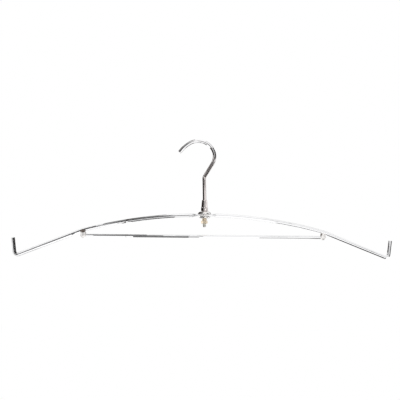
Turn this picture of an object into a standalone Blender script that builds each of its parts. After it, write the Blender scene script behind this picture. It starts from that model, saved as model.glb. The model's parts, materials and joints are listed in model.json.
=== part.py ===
"""Apron hanger: a chrome wire hook that swivels in the middle of an arched steel shoulder rod.

Metres, +Z up. The hanger lies in the XZ plane, seen from -Y with the hook's open side towards -X. The origin
is the inner crest of the hook's bowl, where the rail bears. All wires are laid out by their centrelines.
"""

import math

import bmesh
import bpy
from mathutils import Matrix

MM = 0.001

# Gap that touching pieces keep between them
SEAT_GAP = 0.3 * MM

# Hook wire, with the radii and turns of its centreline
HOOK_WIRE_D = 5.0 * MM
CREST_R = 23.7 * MM
CREST_TO_LIP_DEG = 29.5
LIP_R = 45.3 * MM
LIP_DEG = 25.1
CREST_TO_BACK_DEG = 58.4
BACK_R = 19.4 * MM
NECK_LEAN_DEG = 30.9
NECK_L = 21.0 * MM
NECK_BEND_R = 6.0 * MM
SHANK_LEAN_DEG = 1.6
LEANING_SHANK_L = 27.0 * MM
SHANK_BEND_R = 60.0 * MM

# Height of the rail seat over the arch's centreline
HANG_DROP = 101.8 * MM

# Shoulder rod
ROD_D = 5.0 * MM
ARCH_R = 650.0 * MM
ARCH_HALF_W = 170.4 * MM
ARM_SLOPE_DEG = 21.4
ARM_BEND_R = 30.0 * MM
ARM_L = 90.4 * MM
TIP_BEND_R = 4.5 * MM
TIP_LEAN_DEG = 6.2
TIP_L = 19.6 * MM

# Flattened and pierced centre of the shoulder rod
EYE_T = 2.5 * MM
EYE_W = 8.5 * MM
EYE_MARGIN = 1.0 * MM
EYE_TAPER_L = 7.0 * MM

# Crossbar, and the weld beads that hold it under the arch
BAR_D = 4.0 * MM
WELD_SHORT_OF_BEND = 1.6 * MM
WELD_OPENING = 3.0 * MM
BAR_END_PAST_WELD = 2.0 * MM
BEAD_HALF_L = 4.6 * MM
BEAD_WALL = 1.7 * MM

# Domed washers over and under the eye
UPPER_WASHER_D = 18.6 * MM
UPPER_WASHER_H = 3.5 * MM
UPPER_WASHER_TOP_D = 10.4 * MM
LOWER_WASHER_D = 16.0 * MM
LOWER_WASHER_H = 2.9 * MM
LOWER_WASHER_BOTTOM_D = 8.4 * MM
WASHER_RIM_T = 0.8 * MM
DOME_BULGE = 0.55 * MM

# Tapered ferrule on the shank
FERRULE_L = 16.0 * MM
FERRULE_TOP_D = 7.4 * MM
FERRULE_WAIST_D = 8.8 * MM
FERRULE_FOOT_D = 10.0 * MM
FERRULE_FOOT_L = 5.2 * MM
FERRULE_EDGE = 0.5 * MM

# Brass bush and nut on the threaded end
BUSH_D = 7.0 * MM
BUSH_L = 2.8 * MM
BUSH_EDGE = 0.3 * MM
NUT_AF = 8.0 * MM
NUT_H = 4.0 * MM
NUT_CHAMFER_DEG = 30.0
STUD_PROUD = 4.9 * MM
STUD_CHAMFER = 0.5 * MM

# Smoothness of the solids
CURVE_TOLERANCE = 0.02 * MM
ROD_BEVEL_RESOLUTION = 6
TURNED_STEPS = 32
DOME_POINTS = 4
EYE_RINGS = 8
BEAD_SEGMENTS = 20
BEAD_RINGS = 12
MERGE_DISTANCE = 0.00001
CUTTER_OVERRUN = 2.0 * MM


def start_scene():
    """Remove the scene's objects and return the collections for the parts and for the cutters."""
    for obj in list(bpy.data.objects):
        bpy.data.objects.remove(obj, do_unlink=True)
    parts = bpy.data.collections.new("apron_hanger")
    cutters = bpy.data.collections.new("cutters")
    bpy.context.scene.collection.children.link(parts)
    bpy.context.scene.collection.children.link(cutters)
    return parts, cutters


PARTS, CUTTERS = start_scene()


def make_material(name, colour, roughness):
    """A bare metal as a Principled BSDF."""
    material = bpy.data.materials.new(name)
    material.use_nodes = True
    shader = material.node_tree.nodes["Principled BSDF"]
    shader.inputs["Base Color"].default_value = (*colour, 1.0)
    shader.inputs["Metallic"].default_value = 1.0
    shader.inputs["Roughness"].default_value = roughness
    return material


CHROME = make_material("chrome_plate", (0.74, 0.74, 0.75), 0.08)
WELD_METAL = make_material("plated_weld", (0.66, 0.64, 0.61), 0.25)
BRASS = make_material("turned_brass", (0.78, 0.60, 0.33), 0.25)


class Wire:
    """Centreline of a wire in the XZ plane, laid out from one end as straights and bends."""

    def __init__(self, x, z, heading_deg):
        self.points = [(x, z)]
        self.heading = math.radians(heading_deg)

    def straight(self, length):
        x, z = self.points[-1]
        self.points.append((x + length * math.cos(self.heading), z + length * math.sin(self.heading)))

    def bend(self, radius, turn_deg, steps=None):
        """Turn along an arc, anticlockwise where turn_deg is positive."""
        turn = math.radians(turn_deg)
        if steps is None:
            steps = math.ceil(abs(turn) / (2 * math.acos(1 - CURVE_TOLERANCE / radius)))
        chord = 2 * radius * math.sin(abs(turn) / steps / 2)
        for _ in range(steps):
            self.heading += turn / steps / 2
            self.straight(chord)
            self.heading += turn / steps / 2


def link_part(obj, parent=None):
    """Put a finished piece in the parts' collection, carried by its parent."""
    PARTS.objects.link(obj)
    if parent is not None:
        obj.parent = parent
        obj.matrix_parent_inverse = parent.matrix_world.inverted()
    return obj


def link_cutter(obj):
    """Put a cutting shape in the cutters' collection, out of the render."""
    CUTTERS.objects.link(obj)
    obj.hide_render = True
    obj.display_type = "WIRE"
    return obj


def rod_curve(name, points, diameter):
    """A round rod along points of the XZ plane, as a bevelled curve with filled caps."""
    curve = bpy.data.curves.new(name, "CURVE")
    curve.dimensions = "3D"
    curve.bevel_depth = diameter / 2
    curve.bevel_resolution = ROD_BEVEL_RESOLUTION
    curve.use_fill_caps = True
    spline = curve.splines.new("POLY")
    spline.points.add(len(points) - 1)
    for spot, (x, z) in zip(spline.points, points):
        spot.co = (x, 0.0, z, 1.0)
    return bpy.data.objects.new(name, curve)


def shade_round(mesh):
    """Smooth shading that keeps the real edges sharp."""
    mesh.shade_smooth()
    mesh.set_sharp_from_angle(angle=math.radians(35))


def rod_mesh(name, points, diameter):
    """The same rod as one closed mesh, for pieces that are cut or pressed."""
    drawn = rod_curve(name + "_drawn", points, diameter)
    PARTS.objects.link(drawn)
    bpy.context.view_layer.update()
    mesh = bpy.data.meshes.new_from_object(drawn.evaluated_get(bpy.context.evaluated_depsgraph_get()))
    mesh.name = name
    solid = bmesh.new()
    solid.from_mesh(mesh)
    bmesh.ops.remove_doubles(solid, verts=solid.verts, dist=MERGE_DISTANCE)
    solid.to_mesh(mesh)
    solid.free()
    obj = bpy.data.objects.new(name, mesh)
    obj.matrix_world = drawn.matrix_world
    bpy.data.objects.remove(drawn, do_unlink=True)
    return obj


def turned(name, profile, location, steps=TURNED_STEPS):
    """A turned ring. Its closed profile of (radius, z) runs down the outside and back up the bore."""
    mesh = bpy.data.meshes.new(name)
    count = len(profile)
    edges = [(i, (i + 1) % count) for i in range(count)]
    mesh.from_pydata([(radius, 0.0, z) for radius, z in profile], edges, [])
    obj = bpy.data.objects.new(name, mesh)
    obj.location = location
    screw = obj.modifiers.new("turn", "SCREW")
    screw.axis = "Z"
    screw.steps = steps
    screw.render_steps = steps
    screw.use_merge_vertices = True
    screw.merge_threshold = MERGE_DISTANCE
    screw.use_normal_calculate = False
    return obj


def cylinder(name, radius, length, location, tilt=0.0):
    """A plain cylinder along Z, tilted about Y, centred on location."""
    mesh = bpy.data.meshes.new(name)
    solid = bmesh.new()
    bmesh.ops.create_cone(
        solid, cap_ends=True, segments=TURNED_STEPS, radius1=radius, radius2=radius, depth=length
    )
    solid.to_mesh(mesh)
    solid.free()
    obj = bpy.data.objects.new(name, mesh)
    obj.location = location
    obj.rotation_euler = (0.0, tilt, 0.0)
    return obj


def cut(obj, cutter, operation="DIFFERENCE"):
    """Cut a piece with a cutter that stays in the cutters' collection."""
    boolean = obj.modifiers.new(operation.lower() + "_" + cutter.name, "BOOLEAN")
    boolean.operation = operation
    boolean.object = cutter
    boolean.solver = "EXACT"


# Places that the pieces share
SHANK_R = HOOK_WIRE_D / 2
SHANK_BORE_R = SHANK_R + SEAT_GAP
ARCH_Z = -HANG_DROP
EYE_TOP_Z = ARCH_Z + EYE_T / 2
EYE_BOTTOM_Z = ARCH_Z - EYE_T / 2
UPPER_WASHER_Z = EYE_TOP_Z + SEAT_GAP
FERRULE_Z = UPPER_WASHER_Z + UPPER_WASHER_H + SEAT_GAP
LOWER_WASHER_Z = EYE_BOTTOM_Z - SEAT_GAP - LOWER_WASHER_H
BUSH_Z = LOWER_WASHER_Z - SEAT_GAP - BUSH_L
NUT_Z = BUSH_Z - SEAT_GAP - NUT_H
STUD_END_Z = NUT_Z - STUD_PROUD


def hook_back():
    """The hook's wire from the crest over its back and down the neck to the start of the plumb shank."""
    wire = Wire(0.0, SHANK_R, 0.0)
    wire.bend(CREST_R, -CREST_TO_BACK_DEG)
    wire.bend(BACK_R, -(90.0 + NECK_LEAN_DEG - CREST_TO_BACK_DEG))
    wire.straight(NECK_L)
    wire.bend(NECK_BEND_R, NECK_LEAN_DEG + SHANK_LEAN_DEG)
    wire.straight(LEANING_SHANK_L)
    wire.bend(SHANK_BEND_R, -SHANK_LEAN_DEG)
    return wire


SHANK_X = hook_back().points[-1][0]


def build_hook():
    """Hook: one wire from the lip over the crest, down the neck and shank to the stud's end."""
    lip = Wire(0.0, SHANK_R, 180.0)
    lip.bend(CREST_R, CREST_TO_LIP_DEG)
    lip.bend(LIP_R, LIP_DEG)
    points = lip.points[:0:-1] + hook_back().points + [(SHANK_X, STUD_END_Z)]
    hook = rod_mesh("hook", points, HOOK_WIRE_D)
    shade_round(hook.data)
    hook.data.materials.clear()
    hook.data.materials.append(CHROME)
    return link_part(hook)


def arch_turn_deg(half_width):
    """Slope of the arch at a distance from its middle."""
    return math.degrees(math.asin(half_width / ARCH_R))


def arch_z(half_width):
    """Height of the arch's centreline at a distance from its middle."""
    return ARCH_Z - (ARCH_R - math.sqrt(ARCH_R ** 2 - half_width ** 2))


def ease(share):
    """A smooth step from 0 to 1."""
    share = min(max(share, 0.0), 1.0)
    return share * share * (3 - 2 * share)


EYE_HALF_L = UPPER_WASHER_D / 2 + EYE_MARGIN
EYE_REACH = EYE_HALF_L + EYE_TAPER_L


def press_eye(mesh):
    """Flatten the middle of the shoulder rod, which spreads it sideways."""
    for vertex in mesh.vertices:
        away = abs(vertex.co.x - SHANK_X)
        if away >= EYE_REACH:
            continue
        round_share = ease((away - EYE_HALF_L) / EYE_TAPER_L)
        half_t = EYE_T / 2 + (ROD_D - EYE_T) / 2 * round_share
        spread = EYE_W / ROD_D + (1 - EYE_W / ROD_D) * round_share
        middle = arch_z(away)
        rise = min(max(vertex.co.z - middle, -half_t), half_t)
        middle = ARCH_Z + (middle - ARCH_Z) * round_share
        vertex.co.z = middle + rise
        vertex.co.y *= spread


def build_shoulder_rod(swivel):
    """Shoulder rod: arch, two arms and two upturned tips, in one length."""
    half = Wire(SHANK_X, ARCH_Z, 0.0)
    eye_turn = arch_turn_deg(EYE_REACH)
    end_turn = arch_turn_deg(ARCH_HALF_W)
    half.bend(ARCH_R, -eye_turn, EYE_RINGS)
    half.bend(ARCH_R, -(end_turn - eye_turn))
    half.bend(ARM_BEND_R, -(ARM_SLOPE_DEG - end_turn))
    half.straight(ARM_L)
    half.bend(TIP_BEND_R, ARM_SLOPE_DEG + 90.0 - TIP_LEAN_DEG)
    half.straight(TIP_L)
    mirrored = [(2 * SHANK_X - x, z) for x, z in half.points[:0:-1]]
    rod = rod_mesh("shoulder_rod", mirrored + half.points, ROD_D)
    press_eye(rod.data)
    shade_round(rod.data)
    rod.data.materials.clear()
    rod.data.materials.append(CHROME)
    bore = link_cutter(cylinder("eye_bore", SHANK_BORE_R, ROD_D + CUTTER_OVERRUN, (SHANK_X, 0.0, ARCH_Z)))
    cut(rod, bore)
    return link_part(rod, swivel)


WELD_X = ARCH_HALF_W - WELD_SHORT_OF_BEND
WELD_SLOPE = math.radians(arch_turn_deg(WELD_X))
BAR_Z = arch_z(WELD_X) - ROD_D / 2 / math.cos(WELD_SLOPE) - WELD_OPENING - BAR_D / 2
BAR_HALF_L = WELD_X + BAR_END_PAST_WELD


def build_crossbar(swivel):
    """Crossbar: a straight rod between the two welds."""
    bar = rod_mesh("crossbar", [(SHANK_X - BAR_HALF_L, BAR_Z), (SHANK_X + BAR_HALF_L, BAR_Z)], BAR_D)
    shade_round(bar.data)
    bar.data.materials.clear()
    bar.data.materials.append(CHROME)
    return link_part(bar, swivel)


def build_weld_bead(name, side, swivel):
    """Weld bead: a drop of metal that wraps the bar's end and wets the underside of the arch."""
    top = arch_z(WELD_X)
    bottom = BAR_Z - BAR_D / 2 - BEAD_WALL
    x = SHANK_X + side * WELD_X
    mesh = bpy.data.meshes.new(name)
    drop = bmesh.new()
    bmesh.ops.create_uvsphere(drop, u_segments=BEAD_SEGMENTS, v_segments=BEAD_RINGS, radius=1.0)
    bmesh.ops.scale(drop, vec=(BEAD_HALF_L, ROD_D / 2 + BEAD_WALL, (top - bottom) / 2), verts=drop.verts)
    drop.to_mesh(mesh)
    drop.free()
    bead = bpy.data.objects.new(name, mesh)
    bead.location = (x, 0.0, (top + bottom) / 2)
    shade_round(mesh)
    mesh.materials.append(WELD_METAL)
    reach = 2 * BEAD_HALF_L + 2 * CUTTER_OVERRUN
    along_arch = side * (math.pi / 2 + WELD_SLOPE)
    arch_cutter = cylinder(name + "_arch_seat", ROD_D / 2 + SEAT_GAP, reach, (x, 0.0, top), along_arch)
    cut(bead, link_cutter(arch_cutter))
    end = BAR_HALF_L + SEAT_GAP
    bar_middle = (SHANK_X + side * (end - reach / 2), 0.0, BAR_Z)
    bar_cutter = cylinder(name + "_bar_seat", BAR_D / 2 + SEAT_GAP, reach, bar_middle, math.pi / 2)
    cut(bead, link_cutter(bar_cutter))
    return link_part(bead, swivel)


def dome(rim_r, top_r, height):
    """Outer profile of a domed washer, top edge down to rim, as (radius, z) over its flat face."""
    profile = []
    for i in range(DOME_POINTS + 1):
        share = i / DOME_POINTS
        bulge = DOME_BULGE * math.sin(math.pi * share)
        radius = top_r + (rim_r - top_r) * share + bulge / 2
        profile.append((radius, height - (height - WASHER_RIM_T) * share + bulge))
    profile.append((rim_r, 0.0))
    return profile


def build_washer(name, diameter, top_d, height, location, upside_down, swivel):
    """Domed washer: flat against the eye, bored for the shank."""
    profile = dome(diameter / 2, top_d / 2, height)
    profile += [(SHANK_BORE_R, 0.0), (SHANK_BORE_R, height)]
    if upside_down:
        profile = [(radius, height - z) for radius, z in reversed(profile)]
    washer = turned(name, profile, location)
    washer.data.materials.append(CHROME)
    return link_part(washer, swivel)


def build_ferrule():
    """Ferrule: a tapered sleeve with a flared foot that stands on the upper washer."""
    top_r = FERRULE_TOP_D / 2
    waist_r = FERRULE_WAIST_D / 2
    foot_r = FERRULE_FOOT_D / 2
    profile = [
        (top_r - FERRULE_EDGE, FERRULE_L),
        (top_r, FERRULE_L - FERRULE_EDGE),
        (waist_r, FERRULE_FOOT_L + FERRULE_EDGE),
        (foot_r - FERRULE_EDGE / 2, FERRULE_FOOT_L - FERRULE_EDGE),
        (foot_r, FERRULE_EDGE),
        (foot_r - FERRULE_EDGE, 0.0),
        (SHANK_BORE_R, 0.0),
        (SHANK_BORE_R, FERRULE_L),
    ]
    ferrule = turned("ferrule", profile, (SHANK_X, 0.0, FERRULE_Z))
    ferrule.data.materials.append(CHROME)
    return link_part(ferrule)


def build_bush():
    """Brass bush: a plain collar that spaces the nut off the lower washer."""
    profile = [
        (BUSH_D / 2 - BUSH_EDGE, BUSH_L),
        (BUSH_D / 2, BUSH_L - BUSH_EDGE),
        (BUSH_D / 2, BUSH_EDGE),
        (BUSH_D / 2 - BUSH_EDGE, 0.0),
        (SHANK_BORE_R, 0.0),
        (SHANK_BORE_R, BUSH_L),
    ]
    bush = turned("brass_bush", profile, (SHANK_X, 0.0, BUSH_Z))
    bush.data.materials.append(BRASS)
    return link_part(bush)


def build_nut():
    """Brass nut: a hexagonal prism, chamfered and bored by a turned envelope."""
    corner_r = NUT_AF / math.sqrt(3)
    mesh = bpy.data.meshes.new("brass_nut")
    prism = bmesh.new()
    bmesh.ops.create_cone(prism, cap_ends=True, segments=6, radius1=corner_r, radius2=corner_r, depth=NUT_H)
    flat_forward = Matrix.Rotation(math.pi / 6, 3, "Z")
    bmesh.ops.rotate(prism, cent=(0.0, 0.0, 0.0), matrix=flat_forward, verts=prism.verts)
    bmesh.ops.translate(prism, vec=(0.0, 0.0, NUT_H / 2), verts=prism.verts)
    prism.to_mesh(mesh)
    prism.free()
    nut = bpy.data.objects.new("brass_nut", mesh)
    nut.location = (SHANK_X, 0.0, NUT_Z)
    mesh.materials.append(BRASS)
    face_r = NUT_AF / 2
    outer_r = corner_r + CUTTER_OVERRUN
    drop = (outer_r - face_r) * math.tan(math.radians(NUT_CHAMFER_DEG))
    profile = [
        (face_r, NUT_H),
        (outer_r, NUT_H - drop),
        (outer_r, drop),
        (face_r, 0.0),
        (SHANK_BORE_R, 0.0),
        (SHANK_BORE_R, NUT_H),
    ]
    envelope = link_cutter(turned("nut_envelope", profile, (SHANK_X, 0.0, NUT_Z)))
    cut(nut, envelope, "INTERSECT")
    return link_part(nut)


def build_hanger():
    """Put the hook's pieces at rest and hang the frame's pieces on the swivel axis."""
    swivel = bpy.data.objects.new("swivel_axis", None)
    swivel.location = (SHANK_X, 0.0, ARCH_Z)
    PARTS.objects.link(swivel)
    bpy.context.view_layer.update()
    build_hook()
    build_ferrule()
    build_bush()
    build_nut()
    build_shoulder_rod(swivel)
    build_crossbar(swivel)
    build_weld_bead("weld_bead_left", -1, swivel)
    build_weld_bead("weld_bead_right", 1, swivel)
    upper_size = (UPPER_WASHER_D, UPPER_WASHER_TOP_D, UPPER_WASHER_H)
    build_washer("upper_washer", *upper_size, (SHANK_X, 0.0, UPPER_WASHER_Z), False, swivel)
    lower_size = (LOWER_WASHER_D, LOWER_WASHER_BOTTOM_D, LOWER_WASHER_H)
    build_washer("lower_washer", *lower_size, (SHANK_X, 0.0, LOWER_WASHER_Z), True, swivel)


build_hanger()
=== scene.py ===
import json
import math

import bmesh
import bpy
from mathutils import Matrix, Vector


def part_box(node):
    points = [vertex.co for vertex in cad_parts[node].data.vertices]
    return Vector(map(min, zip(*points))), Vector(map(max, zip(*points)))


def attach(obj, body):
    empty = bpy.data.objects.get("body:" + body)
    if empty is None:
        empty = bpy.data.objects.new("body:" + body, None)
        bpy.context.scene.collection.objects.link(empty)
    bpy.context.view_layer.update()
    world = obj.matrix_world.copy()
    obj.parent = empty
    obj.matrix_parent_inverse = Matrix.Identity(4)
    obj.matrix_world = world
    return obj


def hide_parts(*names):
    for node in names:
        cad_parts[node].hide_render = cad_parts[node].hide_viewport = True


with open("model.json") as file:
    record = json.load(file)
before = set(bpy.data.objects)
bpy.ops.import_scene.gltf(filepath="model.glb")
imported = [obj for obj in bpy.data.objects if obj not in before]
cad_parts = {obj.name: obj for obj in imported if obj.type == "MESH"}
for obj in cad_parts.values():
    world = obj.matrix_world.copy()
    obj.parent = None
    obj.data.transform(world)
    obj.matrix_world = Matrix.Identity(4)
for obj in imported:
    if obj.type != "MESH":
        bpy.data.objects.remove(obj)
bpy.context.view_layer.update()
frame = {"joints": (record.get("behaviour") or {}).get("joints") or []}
MM = 0.001
MERGE_DIST = 0.001 * MM
bpy.context.scene.view_settings.view_transform = "Standard"

# Shoulder rod: one 5 mm drawn steel rod, bowed in the middle, kinked down into two straight arms and turned
# up at both ends. It is fed and bent like wire on a bending machine, then pressed flat in the middle and
# pierced there.
ROD_D = 5.0 * MM
ROD_SIDES = 40
ARCH_R = 650.0 * MM
ARCH_HALF_W = 170.4 * MM
ARCH_STEPS = 190
ARM_SLOPE_DEG = 21.4
ARM_BEND_R = 30.0 * MM
ARM_L = 90.4 * MM
TIP_BEND_R = 4.5 * MM
TIP_LEAN_DEG = 6.2
TIP_L = 19.6 * MM
TIP_ROUNDING = 0.6 * MM
BEND_STEP_DEG = 5.0
EYE_HALF_T = 1.25 * MM
EYE_SPREAD = 1.7
EYE_HALF_L = 10.3 * MM
EYE_TAPER_L = 7.0 * MM
SHANK_BORE_R = 2.8 * MM

SWIVEL = Vector(frame["joints"][0]["pos_m"])


class WireBender:
    """A wire that is fed and bent in the XZ plane, as rings of a mesh that follow its centreline."""

    def __init__(self, start, heading_deg, diameter):
        self.mesh = bmesh.new()
        self.place = Vector(start)
        self.heading = math.radians(heading_deg)
        across = Matrix.Rotation(math.pi / 2 - self.heading, 4, "Y")
        first = bmesh.ops.create_circle(
            self.mesh, segments=ROD_SIDES, radius=diameter / 2, matrix=Matrix.Translation(start) @ across
        )
        self.ring = list({edge for vert in first["verts"] for edge in vert.link_edges})

    def along(self):
        return Vector((math.cos(self.heading), 0.0, math.sin(self.heading)))

    def feed(self, length):
        drawn = bmesh.ops.extrude_edge_only(self.mesh, edges=self.ring)["geom"]
        verts = [item for item in drawn if isinstance(item, bmesh.types.BMVert)]
        bmesh.ops.translate(self.mesh, vec=self.along() * length, verts=verts)
        corners = set(verts)
        edges = [item for item in drawn if isinstance(item, bmesh.types.BMEdge)]
        self.ring = [edge for edge in edges if all(vert in corners for vert in edge.verts)]
        self.place += self.along() * length

    def bend(self, radius, turn_deg, steps=None):
        """Bend round a former, anticlockwise where turn_deg is positive."""
        if steps is None:
            steps = math.ceil(abs(turn_deg) / BEND_STEP_DEG)
        turn = math.radians(turn_deg)
        side = math.copysign(1.0, turn)
        former = self.place + Vector((-math.sin(self.heading), 0.0, math.cos(self.heading))) * radius * side
        spun = bmesh.ops.spin(
            self.mesh, geom=self.ring, cent=former, axis=(0.0, 1.0, 0.0), angle=-turn, steps=steps
        )
        self.ring = [item for item in spun["geom_last"] if isinstance(item, bmesh.types.BMEdge)]
        self.place = former + Matrix.Rotation(-turn, 3, "Y") @ (self.place - former)
        self.heading += turn

    def round_end(self, rounding):
        """Close the end that the last feed made and round its edge."""
        cap = bmesh.ops.contextual_create(self.mesh, geom=self.ring)["faces"]
        bmesh.ops.bevel(
            self.mesh, geom=list(cap[0].edges), offset=rounding, offset_type="OFFSET", segments=4,
            affect="EDGES", profile=0.5, material=-1,
        )


def finished(name, solid, smooth_deg=30.0):
    """Close a mesh's seams, turn its faces outwards and make it an object of the scene."""
    bmesh.ops.remove_doubles(solid, verts=solid.verts, dist=MERGE_DIST)
    bmesh.ops.recalc_face_normals(solid, faces=solid.faces)
    mesh = bpy.data.meshes.new(name)
    solid.to_mesh(mesh)
    solid.free()
    mesh.shade_smooth()
    mesh.set_sharp_from_angle(angle=math.radians(smooth_deg))
    piece = bpy.data.objects.new(name, mesh)
    bpy.context.scene.collection.objects.link(piece)
    return piece


def cut_with(piece, tool, operation="DIFFERENCE"):
    """Cut a piece for good with a tool, which is then taken away."""
    boolean = piece.modifiers.new("cut", "BOOLEAN")
    boolean.operation = operation
    boolean.object = tool
    boolean.solver = "EXACT"
    bpy.context.view_layer.update()
    cut_mesh = bpy.data.meshes.new_from_object(piece.evaluated_get(bpy.context.evaluated_depsgraph_get()))
    piece.modifiers.clear()
    piece.data = cut_mesh
    bpy.data.objects.remove(tool)


def ease(share):
    share = min(max(share, 0.0), 1.0)
    return share * share * (3.0 - 2.0 * share)


def press_eye(solid):
    """Press the middle of the rod flat between two dies, which spreads it sideways."""
    for vert in solid.verts:
        away = abs(vert.co.x - SWIVEL.x)
        pressed = 1.0 - ease((away - EYE_HALF_L) / EYE_TAPER_L)
        if pressed <= 0.0:
            continue
        sag = ARCH_R - math.sqrt(ARCH_R ** 2 - away ** 2)
        middle = SWIVEL.z - sag
        rise = vert.co.z - middle
        flat = EYE_HALF_T * math.sin(math.pi / 2 * rise / (ROD_D / 2))
        vert.co.z = SWIVEL.z - sag * (1.0 - pressed) + rise + (flat - rise) * pressed
        vert.co.y *= 1.0 + (EYE_SPREAD - 1.0) * pressed


def bore_tool(radius, low, high):
    """A plain drill on the swivel's axis."""
    drill = bmesh.new()
    bmesh.ops.create_cone(
        drill, cap_ends=True, segments=64, radius1=radius, radius2=radius, depth=high - low,
        matrix=Matrix.Translation((SWIVEL.x, SWIVEL.y, (low + high) / 2)),
    )
    return finished("drill", drill)


def bend_shoulder_rod():
    arch_end_deg = math.degrees(math.asin(ARCH_HALF_W / ARCH_R))
    half = WireBender(SWIVEL, 0.0, ROD_D)
    half.bend(ARCH_R, -arch_end_deg, ARCH_STEPS)
    half.bend(ARM_BEND_R, -(ARM_SLOPE_DEG - arch_end_deg))
    half.feed(ARM_L)
    half.bend(TIP_BEND_R, 90.0 + ARM_SLOPE_DEG - TIP_LEAN_DEG)
    half.feed(TIP_L)
    half.round_end(TIP_ROUNDING)
    solid = half.mesh
    across = Matrix.Translation((-SWIVEL.x, 0.0, 0.0))
    bmesh.ops.mirror(solid, geom=solid.faces[:] + solid.edges[:] + solid.verts[:], matrix=across,
                     merge_dist=MERGE_DIST, axis="X")
    press_eye(solid)
    rod = finished("shoulder_rod_bent", solid)
    cut_with(rod, bore_tool(SHANK_BORE_R, SWIVEL.z - ROD_D, SWIVEL.z + ROD_D))
    return rod


shoulder_rod = bend_shoulder_rod()


def colour(hex_text):
    """An sRGB hex value as linear RGBA."""
    parts = [int(hex_text[i:i + 2], 16) / 255 for i in (0, 2, 4)]
    return [p / 12.92 if p <= 0.04045 else ((p + 0.055) / 1.055) ** 2.4 for p in parts] + [1.0]


def add_node(material, kind, settings=None, values=None, links=None):
    """Add a node with its settings, its sockets' values and the sockets that feed it."""
    tree = material.node_tree
    node = tree.nodes.new(kind)
    for key, value in (settings or {}).items():
        setattr(node, key, value)
    for socket, value in (values or {}).items():
        node.inputs[socket].default_value = value
    for socket, source in (links or {}).items():
        tree.links.new(source, node.inputs[socket])
    return node


def start_material(name):
    """A new material with its Principled BSDF."""
    material = bpy.data.materials.new(name)
    material.use_nodes = True
    return material, material.node_tree.nodes["Principled BSDF"]


# Bright chrome plate over drawn steel: a mirror, with the faint waviness that polishing leaves and a breath
# of haze where it has been handled.
CHROME_WAVE_MM = 9.0
CHROME_WAVE_DEPTH_MM = 0.01
CHROME_HAZE_MM = 4.0


def chrome_plate(name, tint, haze_low, haze_high):
    """A mirror of one tint, whose roughness wanders between a clean and a handled value."""
    material, shader = start_material(name)
    shader.inputs["Base Color"].default_value = colour(tint)
    shader.inputs["Metallic"].default_value = 1.0
    place = add_node(material, "ShaderNodeTexCoord").outputs["Object"]
    haze = add_node(material, "ShaderNodeTexNoise", links={"Vector": place},
                    values={"Scale": 1 / (CHROME_HAZE_MM * MM), "Detail": 3.0})
    rough = add_node(material, "ShaderNodeMapRange", links={"Value": haze.outputs["Fac"]},
                     values={"From Min": 0.3, "From Max": 0.75, "To Min": haze_low, "To Max": haze_high})
    material.node_tree.links.new(rough.outputs["Result"], shader.inputs["Roughness"])
    wave = add_node(material, "ShaderNodeTexNoise", links={"Vector": place},
                    values={"Scale": 1 / (CHROME_WAVE_MM * MM), "Detail": 1.0})
    bump = add_node(material, "ShaderNodeBump", links={"Height": wave.outputs["Fac"]},
                    values={"Strength": 1.0, "Distance": CHROME_WAVE_DEPTH_MM * MM})
    material.node_tree.links.new(bump.outputs["Normal"], shader.inputs["Normal"])
    return material


rod_chrome = chrome_plate("rod_bright_chrome", "FCFCFD", 0.0, 0.03)
shoulder_rod.data.materials.clear()
shoulder_rod.data.materials.append(rod_chrome)
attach(shoulder_rod, "frame_body")
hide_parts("shoulder_rod")

# Crossbar: a straight 4 mm rod of the same steel, cut to length and welded under the arch by its ends.
bar_low, bar_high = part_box("crossbar")
BAR_D = 4.0 * MM
BAR_Z = (bar_low.z + bar_high.z) / 2
bar = WireBender((bar_low.x, 0.0, BAR_Z), 0.0, BAR_D)
bar.feed(bar_high.x - bar_low.x)
bmesh.ops.holes_fill(bar.mesh, edges=bar.mesh.edges, sides=ROD_SIDES)
crossbar = finished("crossbar_rod", bar.mesh)
crossbar.data.materials.append(rod_chrome)
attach(crossbar, "frame_body")
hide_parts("crossbar")

# Weld beads: steel melted round the bar's ends and up onto the arch, then plated with the rest. The puddle
# cooled in ripples, so it mirrors nothing clearly.
BEAD_RIPPLE_MM = 2.2
BEAD_RIPPLE_DEPTH_MM = 0.12
BEAD_LUMP = 0.22 * MM
BEAD_WAIST = 0.16
BEAD_WAIST_AT = 0.15
BEAD_WAIST_SPREAD = 0.3


def lay_bead(name):
    """A drop that wraps the bar's end and climbs onto the rod, with a lumpy skin."""
    low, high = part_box(name)
    middle = (low + high) / 2
    drop = bmesh.new()
    bmesh.ops.create_icosphere(drop, subdivisions=5, radius=1.0)
    half = (high - low) / 2
    for vert in drop.verts:
        x, y, z = vert.co
        waist = 1.0 - BEAD_WAIST * math.exp(-((z - BEAD_WAIST_AT) / BEAD_WAIST_SPREAD) ** 2)
        lumps = math.sin(5.0 * x + 2.0 * z) * math.sin(4.0 * y + 1.0) + 0.5 * math.sin(9.0 * z + 3.0 * x)
        swell = 1.0 - BEAD_LUMP / half.x * (0.5 + 0.33 * lumps)
        vert.co = middle + Vector((x * half.x * waist, y * half.y * waist, z * half.z)) * swell
    return finished(name + "_metal", drop, 60.0)


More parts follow.
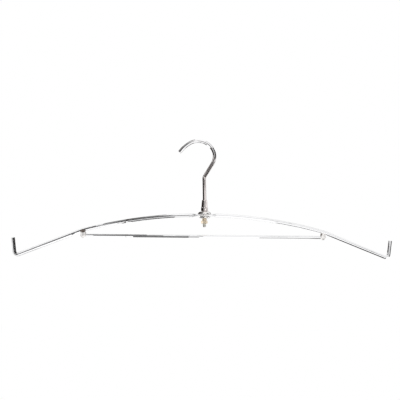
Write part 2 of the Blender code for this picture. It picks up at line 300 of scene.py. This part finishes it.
def plated_weld():
    """The plating over the rippled puddle."""
    material, shader = start_material("plated_weld_metal")
    shader.inputs["Metallic"].default_value = 0.5
    place = add_node(material, "ShaderNodeTexCoord").outputs["Object"]
    ripple = add_node(material, "ShaderNodeTexNoise", links={"Vector": place},
                      values={"Scale": 1 / (BEAD_RIPPLE_MM * MM), "Detail": 4.0})
    tint = add_node(material, "ShaderNodeMix", {"data_type": "RGBA"},
                    links={"Factor": ripple.outputs["Fac"]})
    tint.inputs["A"].default_value = colour("EDE8E4")
    tint.inputs["B"].default_value = colour("FBFAF9")
    material.node_tree.links.new(tint.outputs["Result"], shader.inputs["Base Color"])
    rough = add_node(material, "ShaderNodeMapRange", values={"To Min": 0.2, "To Max": 0.5},
                     links={"Value": ripple.outputs["Fac"]})
    material.node_tree.links.new(rough.outputs["Result"], shader.inputs["Roughness"])
    bump = add_node(material, "ShaderNodeBump", links={"Height": ripple.outputs["Fac"]},
                    values={"Strength": 1.0, "Distance": BEAD_RIPPLE_DEPTH_MM * MM})
    material.node_tree.links.new(bump.outputs["Normal"], shader.inputs["Normal"])
    return material


def painted_weld_shade():
    """Brown painted shade: the dark under the arch where each bead meets the rod."""
    material, shader = start_material("painted_weld_shade")
    shader.inputs["Base Color"].default_value = colour("62574F")
    shader.inputs["Roughness"].default_value = 0.5
    return material


weld_metal = plated_weld()
# The brown is painted shade, laid under the arch on the beads and on the rod beside them.
weld_shade_paint = painted_weld_shade()
shoulder_rod.data.materials.append(weld_shade_paint)


def paint_weld_shade(piece, middle, half_l, half_h):
    """Give the painted shade to a piece's faces that lie within an oval as seen from the front, its back's
    too.
    """
    weld_shade_index = piece.data.materials.find(weld_shade_paint.name)
    for face in piece.data.polygons:
        away = face.center - middle
        if (away.x / half_l) ** 2 + (away.z / half_h) ** 2 < 1.0:
            face.material_index = weld_shade_index


# Where the painted shade lies on each weld, from the bead's middle: aside, above, half its length, half its
# height.
for bead_node, aside, above, half_l, half_h in (
    ("weld_bead_left", -0.6 * MM, 5.0 * MM, 3.6 * MM, 2.2 * MM),
    ("weld_bead_right", -4.2 * MM, 2.9 * MM, 2.4 * MM, 1.7 * MM),
):
    bead = lay_bead(bead_node)
    bead.data.materials.append(weld_metal)
    bead.data.materials.append(weld_shade_paint)
    low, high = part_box(bead_node)
    weld_middle = (low + high) / 2 + Vector((aside, 0.0, above))
    paint_weld_shade(bead, weld_middle, half_l, half_h)
    paint_weld_shade(shoulder_rod, weld_middle, half_l, half_h)
    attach(bead, "frame_body")
    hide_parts(bead_node)

# Domed washers: steel discs pressed over a die and plated, one on each side of the pierced eye. They turn
# with the rod and bear on the shank.
TURNED_STEPS = 96
TURNED_EDGE_R = 0.3 * MM
DOME_FACETS = 8
WASHER_RIM_T = 0.8 * MM
DOME_BULGE = 0.55 * MM


def turned_ring(name, outline, bore_r, rounding=0.0):
    """A ring turned on the swivel's axis from an outline of (radius, height), given from top to bottom."""
    solid = bmesh.new()
    points = [(bore_r, outline[0][1])] + outline + [(bore_r, outline[-1][1])]
    verts = [solid.verts.new((SWIVEL.x + radius, 0.0, height)) for radius, height in points]
    for i, vert in enumerate(verts):
        solid.edges.new((vert, verts[(i + 1) % len(verts)]))
    if rounding:
        bmesh.ops.bevel(solid, geom=verts[1:-1], offset=rounding, segments=3, affect="VERTICES",
                        profile=0.5, material=-1)
    bmesh.ops.spin(solid, geom=solid.verts[:] + solid.edges[:], cent=(SWIVEL.x, 0.0, 0.0),
                   axis=(0.0, 0.0, 1.0), angle=math.tau, steps=TURNED_STEPS, use_merge=True)
    return finished(name, solid)


def dome_outline(node, top_d, upside_down):
    """The outside of a domed washer, from the top of its crown to its rim."""
    low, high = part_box(node)
    rim_r = (high.x - low.x) / 2
    height = high.z - low.z
    outline = []
    for i in range(DOME_FACETS + 1):
        share = i / DOME_FACETS
        bulge = DOME_BULGE * math.sin(math.pi * share)
        radius = top_d / 2 + (rim_r - top_d / 2) * share + bulge / 2
        outline.append((radius, height - (height - WASHER_RIM_T) * share + bulge))
    outline.append((rim_r, 0.0))
    if upside_down:
        return [(radius, high.z - rise) for radius, rise in reversed(outline)]
    return [(radius, low.z + rise) for radius, rise in outline]


washer_chrome = chrome_plate("washer_bright_chrome", "F8F6F4", 0.0, 0.05)
UPPER_CROWN_D = 10.4 * MM
LOWER_CROWN_D = 8.4 * MM
WASHER_EDGE_R = 0.12 * MM
for washer_node, crown_d, upside_down in (("upper_washer", UPPER_CROWN_D, False),
                                          ("lower_washer", LOWER_CROWN_D, True)):
    washer = turned_ring(washer_node + "_dome", dome_outline(washer_node, crown_d, upside_down),
                         SHANK_BORE_R, rounding=WASHER_EDGE_R)
    washer.data.materials.append(washer_chrome)
    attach(washer, "frame_body")
    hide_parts(washer_node)

# Hook: 5 mm wire bent round three formers into an open bowl, down a sloping neck to a straight shank. The
# shank's foot is turned down and cut with an M5 thread.
HOOK_WIRE_D = 5.0 * MM
THREAD_L = 9.4 * MM
THREAD_PITCH = 0.8 * MM
THREAD_DEPTH = 0.45 * MM
CREST_R = 23.7 * MM
CREST_TO_LIP_DEG = 29.5
LIP_R = 45.3 * MM
LIP_DEG = 25.1
CREST_TO_BACK_DEG = 58.4
BACK_R = 19.4 * MM
NECK_LEAN_DEG = 30.9
NECK_L = 21.0 * MM
NECK_BEND_R = 6.0 * MM
SHANK_LEAN_DEG = 1.6
LEANING_SHANK_L = 27.0 * MM
SHANK_BEND_R = 60.0 * MM
LIP_ROUNDING = 0.6 * MM
BACK_STEPS = 36
CREST_STEPS = 36
CREST_END_STEPS = 18
LIP_STEPS = 16
hook_low, hook_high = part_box("hook")

# Bent from the top of the plumb shank upwards, then lifted so that the crest is at its height.
hook_bender = WireBender((SWIVEL.x, 0.0, 0.0), 90.0, HOOK_WIRE_D)
core_ring = hook_bender.ring
hook_bender.bend(SHANK_BEND_R, SHANK_LEAN_DEG)
hook_bender.feed(LEANING_SHANK_L)
hook_bender.bend(NECK_BEND_R, -(NECK_LEAN_DEG + SHANK_LEAN_DEG))
hook_bender.feed(NECK_L)
hook_bender.bend(BACK_R, 90.0 + NECK_LEAN_DEG - CREST_TO_BACK_DEG, BACK_STEPS)
hook_bender.bend(CREST_R, CREST_TO_BACK_DEG, CREST_STEPS)
plumb_top = hook_high.z - HOOK_WIRE_D / 2 - hook_bender.place.z
hook_bender.bend(CREST_R, CREST_TO_LIP_DEG, CREST_END_STEPS)
hook_bender.bend(LIP_R, LIP_DEG, LIP_STEPS)
hook_bender.round_end(LIP_ROUNDING)
hook_solid = hook_bender.mesh
bmesh.ops.translate(hook_solid, vec=(0.0, 0.0, plumb_top), verts=hook_solid.verts)

# Drawn down from there: the plumb shank, the neck of the thread, the threaded core and its chamfered end.
thread_top = hook_low.z + THREAD_L
THREAD_NECK_L = 0.4 * MM
STUD_CHAMFER = 0.35 * MM
for step_in, step_down in ((0.0, plumb_top - thread_top), (THREAD_DEPTH, THREAD_NECK_L),
                           (0.0, THREAD_L - THREAD_NECK_L - STUD_CHAMFER), (STUD_CHAMFER, STUD_CHAMFER)):
    drawn = bmesh.ops.extrude_edge_only(hook_solid, edges=core_ring)["geom"]
    lower = [item for item in drawn if isinstance(item, bmesh.types.BMVert)]
    for vert in lower:
        out = vert.co - Vector((SWIVEL.x, 0.0, vert.co.z))
        vert.co -= out.normalized() * step_in
        vert.co.z -= step_down
    core_ring = [item for item in drawn if isinstance(item, bmesh.types.BMEdge)
                 and all(vert in lower for vert in item.verts)]
bmesh.ops.contextual_create(hook_solid, geom=core_ring)
hook = finished("hook_wire", hook_solid)
hook_chrome = chrome_plate("hook_bright_chrome", "FCFBFC", 0.0, 0.03)

# The chrome is tinted warm low on the hook and fades to its plain tint higher up: a painted warm reflection,
# the warm cast that its surroundings give it there.
WARM_CAST_LOW_Z = -34.0 * MM
WARM_CAST_END_Z = -12.0 * MM
place = add_node(hook_chrome, "ShaderNodeTexCoord").outputs["Object"]
height = add_node(hook_chrome, "ShaderNodeSeparateXYZ", links={"Vector": place})
warm_cast_fade = add_node(hook_chrome, "ShaderNodeMapRange", links={"Value": height.outputs["Z"]},
                     values={"From Min": WARM_CAST_LOW_Z, "From Max": WARM_CAST_END_Z})
warm_cast_tint = add_node(hook_chrome, "ShaderNodeMix", {"data_type": "RGBA"},
                      links={"Factor": warm_cast_fade.outputs["Result"]})
warm_cast_tint.inputs["A"].default_value = colour("FFF6F4")
warm_cast_tint.inputs["B"].default_value = colour("FCFBFC")
hook_chrome.node_tree.links.new(warm_cast_tint.outputs["Result"],
                                hook_chrome.node_tree.nodes["Principled BSDF"].inputs["Base Color"])
hook.data.materials.append(hook_chrome)
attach(hook, "hook_body")
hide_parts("hook")

# The thread is one ridge wound round the core, a hair under the wire's own diameter.
RIDGE_UNDERCUT = 0.02 * MM
RIDGE_FOOT_HALF_W = 0.36 * MM
RIDGE_CREST_HALF_W = 0.07 * MM
RIDGE_START = 0.55 * MM
ridge = bmesh.new()
crest_r = HOOK_WIRE_D / 2 - RIDGE_UNDERCUT
root_r = crest_r - THREAD_DEPTH
ridge_foot = hook_low.z + RIDGE_START
flank = [(root_r, -RIDGE_FOOT_HALF_W), (crest_r, -RIDGE_CREST_HALF_W),
         (crest_r, RIDGE_CREST_HALF_W), (root_r, RIDGE_FOOT_HALF_W)]
ridge_verts = [ridge.verts.new((SWIVEL.x + radius, 0.0, ridge_foot + rise)) for radius, rise in flank]
ridge.faces.new(ridge_verts)
THREAD_TURNS = 10
THREAD_STEPS = 24
bmesh.ops.spin(ridge, geom=ridge.faces[:], cent=(SWIVEL.x, 0.0, 0.0), axis=(0.0, 0.0, 1.0),
               dvec=(0.0, 0.0, THREAD_PITCH / THREAD_STEPS), angle=THREAD_TURNS * math.tau,
               steps=THREAD_TURNS * THREAD_STEPS)
thread = finished("stud_thread", ridge)
stud_chrome = chrome_plate("stud_plated_thread", "EDEEE8", 0.25, 0.4)
thread.data.materials.append(stud_chrome)
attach(thread, "hook_body")

# Ferrule: a turned steel sleeve, tapered to the wire at its top and flared at its foot, pressed on the shank.
ferrule_low, ferrule_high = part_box("ferrule")
FERRULE_TOP_R = 3.7 * MM
FERRULE_WAIST_R = 4.4 * MM
FERRULE_FOOT_R = 5.0 * MM
FERRULE_FOOT_L = 5.2 * MM
FERRULE_CHAMFER = 0.5 * MM
FERRULE_FOOT_DRAFT = 0.25 * MM
SLEEVE_BORE_R = 2.52 * MM
ferrule = turned_ring("ferrule_sleeve", [
    (FERRULE_TOP_R - FERRULE_CHAMFER, ferrule_high.z),
    (FERRULE_TOP_R, ferrule_high.z - FERRULE_CHAMFER),
    (FERRULE_WAIST_R, ferrule_low.z + FERRULE_FOOT_L + FERRULE_CHAMFER),
    (FERRULE_FOOT_R - FERRULE_FOOT_DRAFT, ferrule_low.z + FERRULE_FOOT_L - FERRULE_CHAMFER),
    (FERRULE_FOOT_R, ferrule_low.z + FERRULE_CHAMFER),
    (FERRULE_FOOT_R - FERRULE_CHAMFER, ferrule_low.z),
], SLEEVE_BORE_R, rounding=TURNED_EDGE_R)
ferrule.data.materials.append(hook_chrome)
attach(ferrule, "hook_body")
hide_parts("ferrule")

# Bush and nut: free-cutting brass, turned and milled from bar and left bare, so they have gone dull. The nut
# holds the washers up on the threaded foot.
BUSH_R = 3.5 * MM
bush_low, bush_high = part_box("brass_bush")
bush = turned_ring("bush_turned", [(BUSH_R, bush_high.z), (BUSH_R, bush_low.z)], SLEEVE_BORE_R,
                   rounding=TURNED_EDGE_R)

NUT_AF = 8.0 * MM
NUT_CHAMFER_DEG = 30.0
NUT_SHARP_DEG = 20.0
CHAMFER_TOOL_SPARE = 1.0 * MM
nut_low, nut_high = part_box("brass_nut")


def mill_nut():
    """A hexagon bar, parted off, chamfered on the lathe and bored."""
    corner_r = NUT_AF / math.sqrt(3)
    hexagon = bmesh.new()
    middle = Matrix.Translation((SWIVEL.x, 0.0, (nut_low.z + nut_high.z) / 2))
    flat_forward = Matrix.Rotation(math.pi / 6, 4, "Z")
    bmesh.ops.create_cone(
        hexagon, cap_ends=True, segments=6, radius1=corner_r, radius2=corner_r, depth=nut_high.z - nut_low.z,
        matrix=middle @ flat_forward,
    )
    nut = finished("nut_milled", hexagon)
    face_r = NUT_AF / 2
    outer_r = corner_r + CHAMFER_TOOL_SPARE
    drop = (outer_r - face_r) * math.tan(math.radians(NUT_CHAMFER_DEG))
    outline = [(face_r, nut_high.z), (outer_r, nut_high.z - drop), (outer_r, nut_low.z + drop),
               (face_r, nut_low.z)]
    cut_with(nut, turned_ring("chamfer_tool", outline, SLEEVE_BORE_R), "INTERSECT")
    nut.data.set_sharp_from_angle(angle=math.radians(NUT_SHARP_DEG))
    return nut


PATINA_MM = 1.6
TOOL_MARK_MM = 2.2
TOOL_MARK_DEPTH_MM = 0.02


def dull_brass():
    """Bare brass with a blotchy patina and the faint rings of the lathe."""
    material, shader = start_material("dull_turned_brass")
    shader.inputs["Metallic"].default_value = 1.0
    place = add_node(material, "ShaderNodeTexCoord").outputs["Object"]
    patina = add_node(material, "ShaderNodeTexNoise", values={"Scale": 1 / (PATINA_MM * MM), "Detail": 4.0},
                      links={"Vector": place})
    tint = add_node(material, "ShaderNodeMix", {"data_type": "RGBA"}, links={"Factor": patina.outputs["Fac"]})
    tint.inputs["A"].default_value = colour("E9D7B4")
    tint.inputs["B"].default_value = colour("FFF2E2")
    material.node_tree.links.new(tint.outputs["Result"], shader.inputs["Base Color"])
    tool_marks = add_node(material, "ShaderNodeTexWave", {"wave_type": "BANDS", "bands_direction": "Z"},
                          {"Scale": 1 / (TOOL_MARK_MM * MM), "Distortion": 0.6}, {"Vector": place})
    bump = add_node(material, "ShaderNodeBump", values={"Strength": 0.4, "Distance": TOOL_MARK_DEPTH_MM * MM},
                    links={"Height": tool_marks.outputs["Fac"]})
    material.node_tree.links.new(bump.outputs["Normal"], shader.inputs["Normal"])
    shader.inputs["Roughness"].default_value = 0.42
    return material


nut = mill_nut()
brass = dull_brass()
for piece, node, slot in ((bush, "brass_bush", "bush_brass"), (nut, "brass_nut", "nut_brass")):
    piece.data.materials.clear()
    piece.data.materials.append(brass)
    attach(piece, "hook_body")
    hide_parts(node)

# Studio: a white room with a white floor well under the hanging piece. The light comes from all sides alike,
# and the cards hung in the room are the dark and bright things that the chrome mirrors.
scene = bpy.context.scene
world = bpy.data.worlds.new("white_room")
scene.world = world
world.use_nodes = True
room = world.node_tree.nodes["Background"]
room.inputs["Color"].default_value = colour("FFFFFF")
room.inputs["Strength"].default_value = 1.0

FLOOR_Z = -1.0
FLOOR_HALF = 6.0
floor_mesh = bmesh.new()
bmesh.ops.create_grid(floor_mesh, x_segments=1, y_segments=1, size=FLOOR_HALF,
                      matrix=Matrix.Translation((0.0, 0.0, FLOOR_Z)))
floor = finished("floor", floor_mesh)
floor_paint, floor_shader = start_material("white_floor_paint")
floor_shader.inputs["Base Color"].default_value = colour("FFFFFF")
floor_shader.inputs["Roughness"].default_value = 0.9
floor_shader.inputs["Specular IOR Level"].default_value = 0.0
floor.data.materials.append(floor_paint)


def hang_card(name, faces, offset, across, along, light, tint="FFFFFF"):
    """A card square to one axis, placed in millimetres from the swivel, that only the metal mirrors."""
    card_mesh = bmesh.new()
    axis = "XYZ".index(faces)
    others = [i for i in range(3) if i != axis]
    corners = []
    for a, b in ((0, 0), (1, 0), (1, 1), (0, 1)):
        point = Vector((0.0, 0.0, 0.0))
        point[axis] = offset * MM
        point[others[0]] = across[a] * MM
        point[others[1]] = along[b] * MM
        corners.append(card_mesh.verts.new(SWIVEL + point))
    card_mesh.faces.new(corners)
    card = finished(name, card_mesh)
    paper, paper_shader = start_material(name + "_paper")
    paper_shader.inputs["Base Color"].default_value = (0.0, 0.0, 0.0, 1.0)
    paper_shader.inputs["Specular IOR Level"].default_value = 0.0
    paper_shader.inputs["Emission Color"].default_value = colour(tint)
    paper_shader.inputs["Emission Strength"].default_value = light
    card.data.materials.append(paper)
    card.visible_camera = False
    card.visible_diffuse = False
    card.visible_shadow = False


# Every card faces along X, Y or Z. Its numbers are its distance from the swivel along that axis and where it
# begins and ends along the other two: coarse places in steps of 50 mm, or of 10 mm where the mirror image of
# an edge has its place on the photograph or a card stops short of a wire. The light is told against the white
# room's, which is 1.
# The photograph's room: its left end in front is unlit, and so is a stretch of the wall on the right.
hang_card("dark_room_front_left", "Y", -800, (-1400, 50), (-2000, 300), 0.02)
hang_card("dark_wall_right", "X", 400, (-150, 100), (-150, 1000), 0)

# On the photograph the crossbar is boldly dark between these two places. The card just under the bar makes it
# so, the flag further down darkens what faces down beside the swivel, and the pale strip between bar and arch
# lights both again from there to the washers.
BOLD_LEFT = -100
BOLD_RIGHT = -20
hang_card("black_strip_under_bold", "Z", -60, (BOLD_LEFT, BOLD_RIGHT), (-50, 400), 0)
hang_card("black_flag_under_swivel", "Z", -150, (-100, 0), (-50, 50), 0)
hang_card("pale_strip_under_arch", "Z", -20, (-40, BOLD_RIGHT), (-20, 100), 0.8)

# Black cloths and flags on the left: the dark left side of the shank, the ferrule and the nut, and the dark
# lines of the left arm and its tip. The cloth is a warm black.
hang_card("black_cloth_behind_left", "X", -110, (-10, 1000), (-50, 1000), 0.03, "FFDCD0")
hang_card("black_flag_beside_shank", "X", -180, (-200, -10), (-50, 80), 0.01)
hang_card("black_panel_front_left", "Y", -250, (-400, -50), (100, 400), 0.02)

# Black and grey things on the right, above and behind: the thin lines of the right arm and the right half of
# the arch, the grey top of its left half, and the grey sides of the shank, the ferrule and the nut.
hang_card("black_strip_under_right", "Z", -200, (100, 300), (-100, 1000), 0)
hang_card("black_strip_right_low", "X", 300, (-1500, -150), (-100, 0), 0)
hang_card("black_flag_right_high", "X", 150, (-300, -50), (50, 200), 0)
hang_card("grey_strip_over_left", "Z", 200, (-200, -80), (-500, 400), 0.25)
hang_card("grey_backdrop_low", "Y", 300, (-1000, 300), (-1000, 200), 0.2)
hang_card("grey_wall_front_high", "Y", -500, (0, 200), (50, 200), 0.4)
hang_card("pale_sheet_over_right", "Z", 60, (100, 1000), (-200, 100), 0.9)

# Bright things: the table in front, a strip behind as long as the crossbar, a panel that screens part of the
# dark room, and the one behind on the left that lights the nut and the bush.
hang_card("bright_table_front", "Z", -200, (-300, 1000), (-550, -100), 1.2)
hang_card("bright_strip_behind", "Y", 60, (-170, 170), (-150, -40), 1.2)
hang_card("white_panel_left", "X", -200, (-1000, -450), (-100, 400), 1.2)
hang_card("lit_panel_behind_left", "X", -100, (20, 200), (-600, 0), 1.8)

# Camera: straight on at the height of the arch, a little to the hanger's left, about two arm's lengths away.
IMAGE_PX = 400
MM_PER_PX = 1.407
CAMERA_DISTANCE = 1.3
CAMERA_YAW_DEG = -3.7
CAMERA_ROLL_DEG = 0.6
APEX_PX = (204.4, 215.2)
SENSOR_MM = 36.0
camera_data = bpy.data.cameras.new("camera")
camera_data.sensor_width = SENSOR_MM
focal_px = CAMERA_DISTANCE / (MM_PER_PX * MM)
camera_data.lens = focal_px * SENSOR_MM / IMAGE_PX
camera_data.shift_x = -(APEX_PX[0] - IMAGE_PX / 2) / IMAGE_PX
camera_data.shift_y = (APEX_PX[1] - IMAGE_PX / 2) / IMAGE_PX
camera = bpy.data.objects.new("camera", camera_data)
scene.collection.objects.link(camera)
yaw = math.radians(CAMERA_YAW_DEG)
camera.location = SWIVEL + Vector((math.sin(yaw), -math.cos(yaw), 0.0)) * CAMERA_DISTANCE
camera.rotation_euler = (Matrix.Rotation(yaw, 3, "Z") @ Matrix.Rotation(math.pi / 2, 3, "X")
                         @ Matrix.Rotation(math.radians(CAMERA_ROLL_DEG), 3, "Z")).to_euler()
scene.camera = camera
